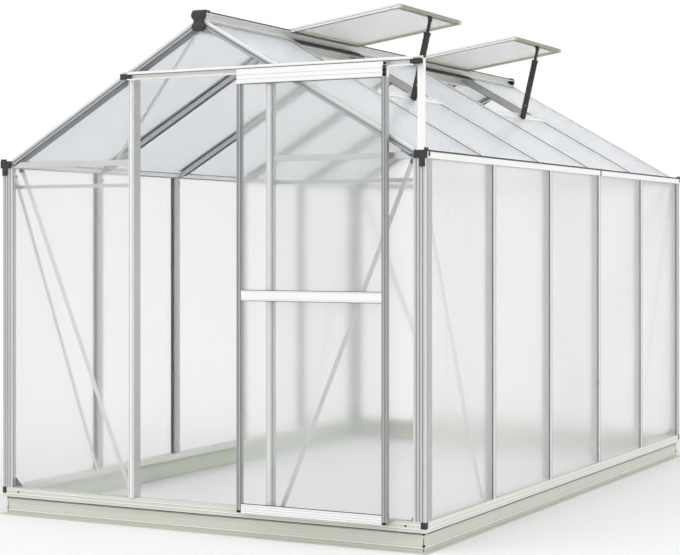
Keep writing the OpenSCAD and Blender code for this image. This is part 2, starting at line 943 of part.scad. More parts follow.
base_front();
base_back();
base_sides();
base_corner_plugs();
sill_front();
sill_back();
sill_sides();
corner_posts_front();
corner_posts_back();
door_posts();
back_posts();
wall_bars_left();
wall_bars_right();
gutters();
gutter_end_caps();
front_eave_bars();
front_tie_bars();
back_eave_bars();
door_header();
gable_braces();
side_braces();
roof_braces();
ridge_beam();
ridge_end_caps();
front_rafters();
back_rafters();
roof_bars_left();
roof_bars_right();
vent_sills();
vent_frames();
vent_panes();
vent_stays();
panes_left_wall();
panes_right_wall();
panes_front_wall();
panes_front_gable();
panes_back_wall();
panes_back_gable();
panes_roof_left();
panes_roof_right();
door_track();
door_track_caps();
door_track_post();
door_stiles();
door_top_rail();
door_rails();
door_panes();
door_rollers();
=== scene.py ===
import math

import bpy
from mathutils import Matrix, Vector


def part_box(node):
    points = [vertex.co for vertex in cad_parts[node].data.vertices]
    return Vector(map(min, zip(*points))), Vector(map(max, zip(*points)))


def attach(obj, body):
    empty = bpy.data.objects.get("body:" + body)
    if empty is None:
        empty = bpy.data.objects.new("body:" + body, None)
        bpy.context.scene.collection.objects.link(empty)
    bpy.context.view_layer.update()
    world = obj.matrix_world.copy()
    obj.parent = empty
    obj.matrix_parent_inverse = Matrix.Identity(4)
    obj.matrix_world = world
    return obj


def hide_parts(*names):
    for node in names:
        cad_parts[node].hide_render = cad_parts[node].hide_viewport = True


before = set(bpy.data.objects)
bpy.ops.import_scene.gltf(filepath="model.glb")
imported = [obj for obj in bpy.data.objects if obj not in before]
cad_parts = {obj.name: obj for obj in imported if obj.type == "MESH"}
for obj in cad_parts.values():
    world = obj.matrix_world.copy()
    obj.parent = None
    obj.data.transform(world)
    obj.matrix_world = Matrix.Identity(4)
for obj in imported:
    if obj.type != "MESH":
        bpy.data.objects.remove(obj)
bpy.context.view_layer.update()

bpy.ops.object.select_all(action="DESELECT")


# ---------- foundation ----------
# Four lengths of roll-formed steel in a pale stone colour, with two raised ribs and a
# foot flange, screwed together at the corners. The colour turns darker and pinker along the foot.

def node_group(name, ins, outs):
    """An empty shader group with the named inputs (type, default) and outputs (type)."""
    group = bpy.data.node_groups.new(name, "ShaderNodeTree")
    for label, (kind, value) in ins.items():
        socket = group.interface.new_socket(label, in_out="INPUT", socket_type=kind)
        socket.default_value = value
    for label, kind in outs.items():
        group.interface.new_socket(label, in_out="OUTPUT", socket_type=kind)
    return group


def add(tree, kind, inputs=None, **settings):
    """Adds a node, sets its properties, and links or sets its inputs."""
    node = tree.nodes.new(kind)
    for key, value in settings.items():
        setattr(node, key, value)
    for key, value in (inputs or {}).items():
        if isinstance(value, bpy.types.NodeSocket):
            tree.links.new(value, node.inputs[key])
        else:
            node.inputs[key].default_value = value
    return node


def calc(tree, operation, a, b=0.0, c=0.0):
    """A Math node's result."""
    return add(tree, "ShaderNodeMath", {0: a, 1: b, 2: c}, operation=operation).outputs[0]


def blend(tree, factor, a, b, mode="MIX"):
    """Two colours mixed."""
    inputs = {0: factor, 6: a, 7: b}
    return add(tree, "ShaderNodeMix", inputs, data_type="RGBA", blend_type=mode).outputs[2]


def object_place(tree):
    """The place on the object, in metres."""
    return add(tree, "ShaderNodeTexCoord").outputs["Object"]


def noise(tree, place, scale, detail):
    """A noise pattern between 0 and 1."""
    inputs = {"Vector": place, "Scale": scale, "Detail": detail}
    return add(tree, "ShaderNodeTexNoise", inputs).outputs[0]


FLOAT, VECTOR, COLOUR = "NodeSocketFloat", "NodeSocketVector", "NodeSocketColor"

# Fine lines left by a roll or a die, drawn out along the piece
drawn_lines = node_group(
    "drawn_lines",
    {"Stretch": (VECTOR, (1, 1, 1)), "Colour": (COLOUR, (0.8, 0.8, 0.8, 1)),
     "Contrast": (FLOAT, 0.1), "Roughness": (FLOAT, 0.35)},
    {"Colour": COLOUR, "Roughness": FLOAT, "Height": FLOAT})
tree = drawn_lines
given = add(tree, "NodeGroupInput").outputs
place = object_place(tree)
drawn = add(tree, "ShaderNodeVectorMath", {0: place, 1: given["Stretch"]}, operation="MULTIPLY")
lines = noise(tree, drawn.outputs[0], 1.0, 3.0)
clouds = noise(tree, place, 5.0, 4.0)
shade = calc(tree, "ADD", calc(tree, "MULTIPLY", lines, 0.6), calc(tree, "MULTIPLY", clouds, 0.4))
shade = calc(tree, "MULTIPLY", calc(tree, "SUBTRACT", shade, 0.5), given["Contrast"])
shade = calc(tree, "ADD", 1.0, shade)
bright = add(tree, "ShaderNodeHueSaturation", {"Value": shade, "Color": given["Colour"]})
rough = calc(tree, "MULTIPLY_ADD", calc(tree, "SUBTRACT", clouds, 0.5), 0.35, given["Roughness"])
add(tree, "NodeGroupOutput",
    {"Colour": bright.outputs[0], "Roughness": rough, "Height": lines})

# A second colour mixed in below a height, in patches, thinning out upwards
foot_tint = node_group(
    "foot_tint",
    {"Colour": (COLOUR, (0.8, 0.8, 0.8, 1)), "Low_colour": (COLOUR, (0.3, 0.27, 0.22, 1)),
     "Height": (FLOAT, 0.03), "Amount": (FLOAT, 0.4)},
    {"Colour": COLOUR, "Mask": FLOAT})
tree = foot_tint
given = add(tree, "NodeGroupInput").outputs
place = object_place(tree)
z = add(tree, "ShaderNodeSeparateXYZ", {0: place}).outputs["Z"]
patches = noise(tree, place, 22.0, 6.0)
fade = calc(tree, "SUBTRACT", 1.0, calc(tree, "DIVIDE", z, given["Height"]))
fade = calc(tree, "MAXIMUM", calc(tree, "ADD", fade, calc(tree, "SUBTRACT", patches, 0.5)), 0.0)
mask = calc(tree, "MULTIPLY", calc(tree, "MINIMUM", fade, 1.0), given["Amount"])
add(tree, "NodeGroupOutput",
    {"Colour": blend(tree, mask, given["Colour"], given["Low_colour"]), "Mask": mask})


def surface(name, metallic=0.0, **plain):
    """A material with its Principled shader, and that shader's plain values."""
    made = bpy.data.materials.new(name)
    made.use_nodes = True
    shader = made.node_tree.nodes["Principled BSDF"]
    shader.inputs["Metallic"].default_value = metallic
    for label, value in plain.items():
        shader.inputs[label.replace("_", " ")].default_value = value
    return made, made.node_tree, shader


def feed(tree, shader, colour, roughness):
    """Feeds the shader a colour and a roughness that change over the piece."""
    tree.links.new(colour, shader.inputs["Base Color"])
    tree.links.new(roughness, shader.inputs["Roughness"])


def bump(tree, shader, height, strength, distance):
    """Feeds a height to the shader's normal."""
    node = add(tree, "ShaderNodeBump",
               {"Height": height, "Strength": strength, "Distance": distance})
    tree.links.new(node.outputs[0], shader.inputs["Normal"])


def group_node(tree, group, inputs):
    """Places a group in a material and gives its outputs."""
    return add(tree, "ShaderNodeGroup", inputs, node_tree=group).outputs


def dress(material, *nodes):
    """Gives CAD nodes a material."""
    for name in nodes:
        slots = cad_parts[name].data.materials
        slots.clear()
        slots.append(material)


foot_band_colour = (0.60, 0.55, 0.53, 1)
roll_pitch = 0.0125


def painted_steel(name, stretch, colour=(0.63, 0.665, 0.57, 1)):
    """Roll-formed steel in stone-coloured paint, darker and pinker along its foot, with
    painted highlights and painted shade along its ribs.
    """
    made, tree, shader = surface(name, metallic=0.15)
    metal = group_node(tree, drawn_lines, {
        "Stretch": stretch, "Colour": colour, "Contrast": 0.22, "Roughness": 0.42})
    # A darker, pinker colour along the foot
    foot_banded = group_node(tree, foot_tint, {
        "Colour": metal["Colour"], "Low_colour": foot_band_colour, "Height": 0.012, "Amount": 0.7})
    place = object_place(tree)
    z = add(tree, "ShaderNodeSeparateXYZ", {0: place}).outputs["Z"]
    # Painted highlight on the crown of each rib and painted shade in the valley over it
    painted_rib_light = calc(tree, "SINE", calc(tree, "MULTIPLY", z, 2 * math.pi / roll_pitch))
    tone = calc(tree, "MULTIPLY_ADD", painted_rib_light, 0.022, 1.0)
    toned = add(tree, "ShaderNodeHueSaturation", {"Value": tone, "Color": foot_banded["Colour"]})
    feed(tree, shader, toned.outputs[0], metal["Roughness"])
    bump(tree, shader, metal["Height"], 0.12, 0.0006)
    return made


dress(painted_steel("stone_steel_ends", (3, 60, 260)), "base_front", "base_back")
dress(painted_steel("stone_steel_sides", (60, 3, 260)), "base_sides")


def select_only(*objects):
    """Selects just these objects, the first one active."""
    bpy.ops.object.select_all(action="DESELECT")
    for obj in objects:
        obj.select_set(True)
    bpy.context.view_layer.objects.active = objects[0]


def settle(obj):
    """Moves an object's place, turn and scale into its mesh."""
    select_only(obj)
    bpy.ops.object.transform_apply(location=True, rotation=True, scale=True)
    return obj


def round_edges(obj, width, segments=1):
    """Bevels all of a closed piece's edges in edit mode."""
    select_only(obj)
    bpy.ops.object.mode_set(mode="EDIT")
    bpy.ops.mesh.select_all(action="SELECT")
    bpy.ops.mesh.bevel(offset=width, segments=segments, affect="EDGES")
    bpy.ops.object.mode_set(mode="OBJECT")
    return obj


def cylinder(sides, radius, depth, at=(0, 0, 0), turn=(0, 0, 0), stretch=(1, 1, 1)):
    """A closed cylinder about Z, then stretched and turned."""
    bpy.ops.mesh.primitive_cylinder_add(vertices=sides, radius=radius, depth=depth, location=at,
                                        rotation=turn, scale=stretch)
    return settle(bpy.context.object)


def block(low, high, edge=0.0004, segments=1):
    """A rounded block between two corners."""
    low, high = Vector(low), Vector(high)
    bpy.ops.mesh.primitive_cube_add(size=1, location=(low + high) / 2, scale=high - low)
    return round_edges(settle(bpy.context.object), edge, segments)


def strip(start, end, width, height, up=(0, 0, 1), edge=0.0003):
    """A rounded strip from one point to another: width across, height along up."""
    start, end = Vector(start), Vector(end)
    along = (end - start).normalized()
    across = Vector(up).cross(along).normalized()
    turn = Matrix((along, across, along.cross(across))).transposed()
    bpy.ops.mesh.primitive_cube_add(size=1, location=(start + end) / 2, rotation=turn.to_euler(),
                                    scale=((end - start).length, width, height))
    return round_edges(settle(bpy.context.object), edge)


def facing(point, outward, spin=0.0):
    """A matrix that carries a piece built round +Z to a point, to face outward."""
    turn = Vector(outward).to_track_quat("Z", "Y").to_matrix().to_4x4()
    return Matrix.Translation(point) @ turn @ Matrix.Rotation(spin, 4, "Z")


def copies(pattern, matrices):
    """Copies of a pattern piece, each with its own mesh."""
    made = []
    for matrix in matrices:
        one = pattern.copy()
        one.data = pattern.data.copy()
        one.data.transform(matrix)
        if matrix.determinant() < 0:
            one.data.flip_normals()
        bpy.context.collection.objects.link(one)
        made.append(one)
    return made


def piece(parts, name, material, body="frame", angle=35):
    """Joins parts into one named piece, with its material, slot and body."""
    select_only(*parts)
    if len(parts) > 1:
        bpy.ops.object.join()
    whole = bpy.context.object
    whole.name = name
    whole.data.name = name
    whole.data.materials.clear()
    whole.data.materials.append(material)
    bpy.ops.object.shade_smooth_by_angle(angle=math.radians(angle))
    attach(whole, body)
    return whole


def cut(body, cutter, operation="DIFFERENCE"):
    """Cuts one closed piece out of another, and drops the cutter."""
    select_only(body)
    modifier = body.modifiers.new("cut", "BOOLEAN")
    modifier.object = cutter
    modifier.operation = operation
    modifier.solver = "EXACT"
    bpy.ops.object.modifier_apply(modifier=modifier.name)
    bpy.data.objects.remove(cutter, do_unlink=True)
    return body


def screw_head(radius, height, slot_width):
    """A pan-head screw on the plane z = 0, with a cross recess cut in its crown."""
    head = round_edges(cylinder(16, radius, height, (0, 0, height / 2)), height * 0.35, 2)
    for turn in (0, math.pi / 2):
        bpy.ops.mesh.primitive_cube_add(size=1, location=(0, 0, height), rotation=(0, 0, turn),
                                        scale=(radius * 1.2, slot_width, height * 0.7))
        cut(head, settle(bpy.context.object))
    return head


def moulded(name, colour, roughness, grain=900.0):
    """Moulded plastic or rubber: a fine spark-eroded grain with a faint bloom."""
    made, tree, shader = surface(name, Specular_IOR_Level=0.45)
    place = object_place(tree)
    pits = noise(tree, place, grain, 2.0)
    bloom = noise(tree, place, 30.0, 4.0)
    paler = tuple(min(1.0, c * 1.9 + 0.012) for c in colour) + (1,)
    mask = calc(tree, "MULTIPLY", bloom, 0.5)
    uneven = calc(tree, "MULTIPLY_ADD", pits, 0.18, roughness - 0.09)
    feed(tree, shader, blend(tree, mask, colour + (1,), paler), uneven)
    bump(tree, shader, pits, 0.25, 0.0003)
    return made


black_plastic = moulded("black_plastic", (0.022, 0.020, 0.019), 0.5)
rubber = moulded("black_rubber", (0.03, 0.031, 0.034), 0.62, 1400.0)


def corners_of(node):
    """A CAD node's lowest and highest corners."""
    return tuple(Vector(corner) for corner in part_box(node))


foot_out = 0.025
base_x = corners_of("base_sides")[1].x - foot_out
base_y = -corners_of("base_front")[0].y - foot_out
sill_low, sill_high = corners_of("sill_front")
half_w, half_l, sill_top, lap_z = sill_high.x, -sill_low.y, sill_high.z, sill_low.z

base_screw = screw_head(0.0058, 0.0028, 0.0011)
corner_sink, screw_heights, sill_screw_x = 0.0004, (0.024, 0.067), 0.87
seats, seams = [], []
for side in (-1, 1):
    for end in (-1, 1):
        corner = (side * (base_x - corner_sink), end * (base_y - corner_sink))
        for height in screw_heights:
            seats.append(facing((*corner, height), (side, end, 0), height))
        seams.append(strip((*corner, 0.003), (*corner, lap_z), 0.0024, 0.0024, (side, end, 0)))
for end in (-1, 1):
    for x in (-sill_screw_x, sill_screw_x):
        seats.append(facing((x, end * half_l, sill_top - 0.017), (0, end, 0), x) @ Matrix.Scale(0.7, 4))
piece(copies(base_screw, seats), "base_screws", black_plastic)
piece(seams, "base_corner_seams", rubber)


def ring(out_x, out_y, z, reach_x, reach_y, width, height):
    """Four strips round the house: a pair at each side wall, and a pair at the ends."""
    parts = []
    for side in (-1, 1):
        x, y = side * out_x, side * out_y
        parts.append(strip((x, -reach_y, z), (x, reach_y, z), width, height))
        parts.append(strip((-reach_x, y, z), (reach_x, y, z), width, height))
    return parts


# Painted highlights on the crowns of the rolled ribs, and painted shadow lines along them
highlight_out, shade_out, line_w = 0.0025, 0.0002, 0.0014
rib_highlights, rib_shade_lines = [], []
for z, height in ((0.0172, 0.0042), (0.0615, 0.0022)):
    rib_highlights += ring(base_x + highlight_out, base_y + highlight_out, z, base_x, base_y, line_w, height)
for z, height in ((0.0535, 0.0016), (0.0135, 0.0016), (0.0660, 0.0014)):
    rib_shade_lines += ring(base_x + shade_out, base_y + shade_out, z, base_x, base_y, line_w, height)
# A pale copy of the steel paints the highlights, a dark copy paints the shade
highlight_paint = painted_steel("stone_steel_painted_highlights", (30, 30, 260), (0.90, 0.905, 0.87, 1))
piece(rib_highlights, "base_rib_painted_highlights", highlight_paint)
shade_paint = painted_steel("stone_steel_painted_shade", (30, 30, 260), (0.40, 0.41, 0.35, 1))
piece(rib_shade_lines, "base_rib_painted_shade", shade_paint)

# ---------- foundation corner plugs ----------
# Black moulded plugs that close the sill's corners over the foundation. Each is pushed
# in from outside, and a raised bead runs round its two faces.

dress(black_plastic, "base_corner_plugs")
plug_low = corners_of("base_corner_plugs")[0]
bead_w, bead_h = 0.0024, 0.003
near, far = 0.002, 0.018
beads = []
for side in (-1, 1):
    for end in (-1, 1):
        for z in (plug_low.z + 0.004, sill_top - 0.004):
            x, y = side * half_w, end * half_l
            beads.append(strip((side * (half_w - far), y, z), (side * (half_w - near), y, z), bead_w, bead_h))
            beads.append(strip((x, end * (half_l - far), z), (x, end * (half_l - near), z), bead_w, bead_h))
piece(beads, "corner_plug_beads", black_plastic)

# ---------- sills ----------
# Extruded aluminium sills that lap over the foundation and carry the panes' lower edges.
# A black strip under each lap is painted shade under the sill's lip, and two beads run
# along each face in white as painted highlights, each over a painted shadow line.

white_coat = (0.88, 0.885, 0.875, 1)


def aluminium(name, stretch, colour=(0.60, 0.605, 0.60, 1), roughness=0.34, metallic=0.75,
              outer=None, coat_colour=white_coat):
    """Mill-finish aluminium, with die lines along the piece. Where outer gives a direction
    and a distance, the faces out beyond that distance are powder-coated."""
    made, tree, shader = surface(name, metallic=metallic)
    metal = group_node(tree, drawn_lines, {
        "Stretch": stretch, "Colour": colour, "Contrast": 0.22, "Roughness": roughness})
    shown = metal["Colour"]
    if outer:
        coated = group_node(tree, coated_face, {
            "Outward": outer[0], "Distance": outer[1], "Coat": coat_colour})
        shown = blend(tree, coated["Mask"], shown, coated["Colour"])
    feed(tree, shader, shown, metal["Roughness"])
    bump(tree, shader, metal["Height"], 0.1, 0.0004)
    return made


# Where a bar's outer face is coated: beyond a distance from the house's middle
coated_face = node_group(
    "coated_face",
    {"Outward": (VECTOR, (1, 0, 0)), "Distance": (FLOAT, 1.0), "Coat": (COLOUR, white_coat)},
    {"Mask": FLOAT, "Colour": COLOUR})
tree = coated_face
given = add(tree, "NodeGroupInput").outputs
place = object_place(tree)
folded = add(tree, "ShaderNodeVectorMath", {0: place}, operation="ABSOLUTE").outputs[0]
reach = add(tree, "ShaderNodeVectorMath", {0: folded, 1: given["Outward"]},
            operation="DOT_PRODUCT").outputs["Value"]
speck = noise(tree, place, 12.0, 5.0)
dulled = blend(tree, 1.0, given["Coat"], (0.91, 0.91, 0.91, 1), "MULTIPLY")
add(tree, "NodeGroupOutput",
    {"Mask": calc(tree, "GREATER_THAN", reach, given["Distance"]),
     "Colour": blend(tree, speck, dulled, given["Coat"])})

along_x, along_y, along_z = (4, 420, 420), (420, 4, 420), (420, 420, 4)
metal_x = aluminium("aluminium_across", along_x)
metal_y = aluminium("aluminium_along", along_y)
metal_z = aluminium("aluminium_upright", along_z)
white_x = aluminium("white_aluminium_across", along_x, white_coat, 0.4, 0.15)
white_y = aluminium("white_aluminium_along", along_y, white_coat, 0.4, 0.15)
white_z = aluminium("white_aluminium_upright", along_z, white_coat, 0.4, 0.15)
# The end sills are a darker copy of the side sills' colour: painted shade on the ends
stone_ends_shaded = aluminium("stone_sill_ends_painted_shade", along_x, (0.66, 0.675, 0.60, 1), 0.42, 0.15)
stone_y = aluminium("stone_sill_sides", along_y, (0.74, 0.75, 0.69, 1), 0.42, 0.15)
dress(stone_ends_shaded, "sill_front", "sill_back")
dress(stone_y, "sill_sides")

# The strips stop short of the corner plugs
corner_clear = 0.021
sill_reach = (half_w - corner_clear, half_l - corner_clear)
# A black strip under each lap is painted shade: it stands in for the shadow under the sill's lip
lap_in, lap_shade_w, lap_shade_h = 0.0075, 0.013, 0.003
seals = ring(half_w - lap_in, half_l - lap_in, lap_z - lap_shade_h / 2, *sill_reach,
             lap_shade_w, lap_shade_h)
piece(seals, "sill_lap_shade_strips", rubber)

# The beads on each face are white as painted highlights, each over a painted shadow line
ribs, shadows = [], []
for z in (sill_top - 0.012, sill_top - 0.026):
    ribs += ring(half_w, half_l, z, *sill_reach, 0.0016, bead_h)
    shadows += ring(half_w, half_l, z - 0.0025, *sill_reach, 0.0008, 0.0014)
piece(ribs, "sill_rib_highlights", white_x)
piece(shadows, "sill_shadow_lines", shade_paint)

# ---------- corner posts ----------
# Fluted corner extrusions that stand in the sills' ends and carry the gutters. Dark
# rubber lies in the flutes of each face, and a bolted gusset holds each foot.

corner_metal = aluminium("corner_aluminium", along_z, (0.56, 0.565, 0.56, 1), 0.36, 0.5)
dress(corner_metal, "corner_posts_front", "corner_posts_back")
wall_top = corners_of("corner_posts_front")[1].z


def upright(x, y, width, depth, out, top=wall_top):
    """A strip up a wall's face from the sill, that stands out in a direction."""
    return strip((x, y, sill_top), (x, y, top), width, depth, out)


corner_w = 0.05
flutes = [corner_w * n / 4 for n in (1, 2, 3)]
flute_w, flute_depth = 0.0026, 0.0008
inlays = []
for side in (-1, 1):
    for end in (-1, 1):
        for inward in flutes:
            x, y = side * (half_w - inward), end * (half_l - flute_depth / 2)
            inlays.append(upright(x, y, flute_w, flute_depth, (0, 1, 0)))
            x, y = side * (half_w - flute_depth / 2), end * (half_l - inward)
            inlays.append(upright(x, y, flute_w, flute_depth, (1, 0, 0)))
seal_grey = moulded("grey_rubber", (0.19, 0.20, 0.22), 0.6, 1400.0)
piece(inlays, "corner_post_inlays", seal_grey)

fins = []
fin_w, fin_h = 0.0022, 0.0024
for side in (-1, 1):
    for end in (-1, 1):
        for inward in (0.0012, corner_w - 0.0035):
            x, y = side * (half_w - inward), end * (half_l + 0.0002)
            fins.append(upright(x, y, fin_w, fin_h, (0, 1, 0)))
piece(fins, "corner_post_fins", white_z)


def gusset(leg, thickness):
    """A three-cornered plate in the X-Z plane with its right angle at the origin."""
    bpy.ops.mesh.primitive_cube_add(size=1, location=(leg / 2, 0, leg / 2), scale=(leg, thickness, leg))
    plate = settle(bpy.context.object)
    bpy.ops.object.mode_set(mode="EDIT")
    bpy.ops.mesh.select_all(action="SELECT")
    bpy.ops.mesh.bisect(plane_co=(leg * 0.56, 0, leg * 0.56), plane_no=(1, 0, 1),
                        use_fill=True, clear_outer=True)
    bpy.ops.object.mode_set(mode="OBJECT")
    return round_edges(plate, 0.0006)


wall_depth = 0.038
plate_off = 0.0022
foot_plate = gusset(0.034, 0.003)
seats = []
for side in (-1, 1):
    for end in (-1, 1):
        x, y = side * (half_w - wall_depth), end * (half_l - wall_depth + plate_off)
        seats.append(Matrix.Translation((x, y, sill_top)) @ Matrix.Diagonal((-side, 1, 1, 1)))
        x, y = side * (half_w - wall_depth + plate_off), end * (half_l - wall_depth)
        seats.append(Matrix.Translation((x, y, sill_top)) @ Matrix.Rotation(-end * math.pi / 2, 4, "Z"))
piece(copies(foot_plate, seats), "corner_gussets", black_plastic)

# ---------- side wall bars ----------
# Glazing bars: a white outer cap on a grey web. The cap grips the pane edges through a
# rubber seal on each side, and a nut and bolt hold each end to the sill and the gutter.

coat = 0.0035
wall_metal = aluminium("wall_bar_aluminium", along_z, outer=((1, 0, 0), half_w - coat))
dress(wall_metal, "wall_bars_left", "wall_bars_right")
bars_low, bars_high = corners_of("wall_bars_right")
cap_w = 0.026
inner_bars = 4
pitch = (bars_high.y - bars_low.y - cap_w) / (inner_bars - 1)
bar_ys = [bars_low.y + cap_w / 2 + pitch * n for n in range(inner_bars)]
seal_w, seal_out = 0.0024, 0.0026

seals = []
for side in (-1, 1):
    x = side * (half_w - seal_out / 2)
    for y in bar_ys:
        for edge in (-1, 1):
            at = y + edge * (cap_w + seal_w) / 2
            seals.append(upright(x, at, seal_w, seal_out, (1, 0, 0)))
    for end in (-1, 1):
        at = end * (half_l - corner_w - seal_w / 2)
        seals.append(upright(x, at, seal_w, seal_out, (1, 0, 0)))
piece(seals, "side_wall_seals", rubber)

ridges = []
for side in (-1, 1):
    for y in bar_ys:
        for off in (-0.0075, 0.0075):
            x = side * (half_w + 0.0003)
            ridges.append(upright(x, y + off, 0.0022, 0.0012, (1, 0, 0)))
piece(ridges, "side_bar_ridges", metal_z)


def joined(*parts):
    """Joins parts into the first of them."""
    select_only(*parts)
    bpy.ops.object.join()
    return bpy.context.object


def bolt_and_nut(across, height, shank):
    """A hexagon nut on the plane z = 0, with the bolt's chamfered end standing out of it."""
    nut = round_edges(cylinder(6, across / 2, height, (0, 0, height / 2)), across * 0.05)
    bolt = round_edges(cylinder(14, across * 0.28, shank, (0, 0, shank / 2)), across * 0.05)
    washer = round_edges(cylinder(20, across * 0.72, 0.0012, (0, 0, 0.0006)), 0.0003)
    return joined(nut, bolt, washer)


nut = bolt_and_nut(0.0115, 0.0045, 0.009)
inner_x = half_w - wall_depth
seats = []
for side in (-1, 1):
    for y in bar_ys:
        for z in (sill_top + 0.028, wall_top - 0.026):
            seats.append(facing((side * inner_x, y, z), (-side, 0, 0), y + z))
    for end in (-1, 1):
        for z in (sill_top + 0.018, sill_top + 0.034, wall_top - 0.03):
            seats.append(facing((side * (half_w - 0.019), end * (half_l - wall_depth), z),
                                (0, -end, 0), z))
bolt_metal = aluminium("bolt_steel", (160, 160, 160), (0.62, 0.62, 0.63, 1), 0.3, 0.85)
piece(copies(nut, seats), "wall_bolts", bolt_metal)

# ---------- gutters and their end caps ----------
# Extruded gutters that tie the wall posts together and take the roof panes' lower edges.
# Black moulded caps close both ends, with tongues that grip the corner posts.

dress(white_y, "gutters")
dress(black_plastic, "gutter_end_caps")
gutter_low, gutter_high = corners_of("gutters")


def gutter_strips(z, width, height, edge=0.0003):
    """A strip along the outer face of each gutter."""
    xs = (-gutter_high.x, gutter_high.x)
    return [strip((x, -half_l, z), (x, half_l, z), width, height, edge=edge) for x in xs]


piece(gutter_strips(gutter_high.z - 0.0028, 0.0036, 0.0056), "gutter_seals", rubber)
rolls = (gutter_strips(gutter_high.z - 0.0082, 0.002, 0.0046, 0.0008)
         + gutter_strips(gutter_low.z + 0.010, 0.002, 0.003))
piece(rolls, "gutter_rolls", white_y)

# A black sleeve joins each gutter's two lengths, over the third bar
splice_y, splice_l = bar_ys[2], 0.012
sleeves = []
for x in (-gutter_high.x, gutter_high.x):
    sleeves.append(block((x - 0.0012, splice_y - splice_l / 2, gutter_low.z - 0.001),
                         (x + 0.0012, splice_y + splice_l / 2, gutter_high.z - 0.003)))
piece(sleeves, "gutter_sleeves", rubber)

cap_screw = screw_head(0.0042, 0.002, 0.0009)
cap_face = corners_of("gutter_end_caps")[1].y
cap_in = 0.051
seats, lips = [], []
for side in (-1, 1):
    for end in (-1, 1):
        y = end * cap_face
        for inward, z, spin in ((0.020, wall_top - 0.018, 0.4), (0.040, wall_top + 0.012, 1.1)):
            seats.append(facing((side * (gutter_high.x - inward), y, z), (0, end, 0), spin))
        for z in (wall_top + 0.002, gutter_high.z - 0.002):
            lips.append(strip((side * (gutter_high.x - cap_in), y, z), (side * gutter_high.x, y, z),
                              0.002, 0.0025))
piece(copies(cap_screw, seats), "end_cap_screws", rubber)

# An oval stopper sits on each gutter's outer face, close to its end
stopper = round_edges(cylinder(24, 0.0075, 0.003, stretch=(1, 1.35, 1)), 0.0009, 2)
sideways = Matrix.Rotation(math.pi / 2, 4, "Y") @ Matrix.Rotation(math.pi / 2, 4, "Z")
stopper_x, stopper_y, stopper_z = gutter_high.x + 0.0006, half_l - 0.014, gutter_low.z + 0.015
seats = [Matrix.Translation((side * stopper_x, end * stopper_y, stopper_z)) @ sideways
         for side in (-1, 1) for end in (-1, 1)]
piece(copies(stopper, seats), "gutter_stoppers", black_plastic)
piece(lips, "end_cap_beads", black_plastic)

# ---------- eave bars and braces ----------
# Cross bars at the eaves of each gable, and flat aluminium braces bolted across the end
# bays of the walls and the roof. Each brace ends in a bolt with a nut and washer.

dress(metal_x, "front_eave_bars", "back_eave_bars", "front_tie_bars", "door_header")
eave_lip_z = corners_of("back_eave_bars")[1].z - 0.0036
eave_end, door_edge = 0.900, 0.325
front_spans = ((-eave_end, -door_edge), (door_edge, eave_end))
# Dark strips along the eave bars' inner lips and the gutters' inner faces are painted shade lines
eave_shade_lines = []
for end, spans in ((-1, front_spans), (1, ((-eave_end, eave_end),))):
    y = end * (half_l - wall_depth - 0.0002)
    for x0, x1 in spans:
        for z in (eave_lip_z, eave_lip_z - 0.016):
            eave_shade_lines.append(strip((x0, y, z), (x1, y, z), 0.0014, 0.0024))
for side in (-1, 1):
    x = side * (gutter_high.x - 0.0522)
    for z in (gutter_high.z - 0.0075, gutter_low.z + 0.0012):
        eave_shade_lines.append(strip((x, -half_l + 0.04, z), (x, half_l - 0.04, z), 0.0014, 0.0026))
piece(eave_shade_lines, "eave_inner_shade_lines", rubber)

brace_metal = aluminium("brace_aluminium", (40, 40, 40), (0.74, 0.745, 0.74, 1), 0.38, 0.6)
dress(brace_metal, "gable_braces", "side_braces", "roof_braces")

door_out = 0.3215
brace_top = wall_top - 0.006
brace_in, bolt_off = 0.068, 0.002
gable_seats = ((door_out + 0.018, sill_top + 0.006), (half_w - brace_in, brace_top - 0.002))
wall_seats = ((half_l - 0.036, wall_top - 0.034), (-bar_ys[0] + 0.024, sill_top + 0.008))
bolts, spacers = [], []
for side in (-1, 1):
    for end in (-1, 1):
        inner_x, inner_y = side * (half_w - wall_depth - bolt_off), end * (half_l - wall_depth - bolt_off)
        bolts += [facing((side * x, inner_y, z), (0, -end, 0), x) for x, z in gable_seats]
        bolts += [facing((inner_x, end * y, z), (-side, 0, 0), y) for y, z in wall_seats]
        at = (side * (half_w - brace_in), end * (half_l - wall_depth + 0.004), brace_top - 0.004)
        spacers.append(facing(at, (0, end, 0)))
piece(copies(nut, bolts), "brace_bolts", bolt_metal)

# A black spacer stands between each gable brace and the corner post at its top
spacer = round_edges(cylinder(24, 0.0085, 0.010), 0.0012, 2)
piece(copies(spacer, spacers), "brace_spacers", black_plastic)

# ---------- ridge, gable rafters and roof bars ----------
# The roof's frame: a ridge beam with a hinge bead on each side, gable rafters with a
# white top lip, and glazing bars that run down each slope to the gutters. The rafters'
# blue-grey is painted shade tinted by a painted reflection, with a beige painted reflection
# along their top.

roof_angle = math.radians(30.0)
roof_cos, roof_sin = math.cos(roof_angle), math.sin(roof_angle)
ridge_low, ridge_high = corners_of("ridge_beam")
slope_low, slope_high = corners_of("roof_bars_right")
roof_apex = slope_high.z + slope_low.x * math.tan(roof_angle)
slope_l = slope_high.x / roof_cos


def on_slope(side, down, y, out):
    """A point on the right (1) or left (-1) slope: down it from the apex, and out of it."""
    return Vector((side * (down * roof_cos + out * roof_sin), y,
                   roof_apex - down * roof_sin + out * roof_cos))


def slope_out(side):
    """The direction straight out of a slope."""
    return Vector((side * roof_sin, 0, roof_cos))


def slope_strip(side, y, out, start, end, width, height):
    """A strip down a slope, between two distances from the apex."""
    return strip(on_slope(side, start, y, out), on_slope(side, end, y, out), width, height, slope_out(side))


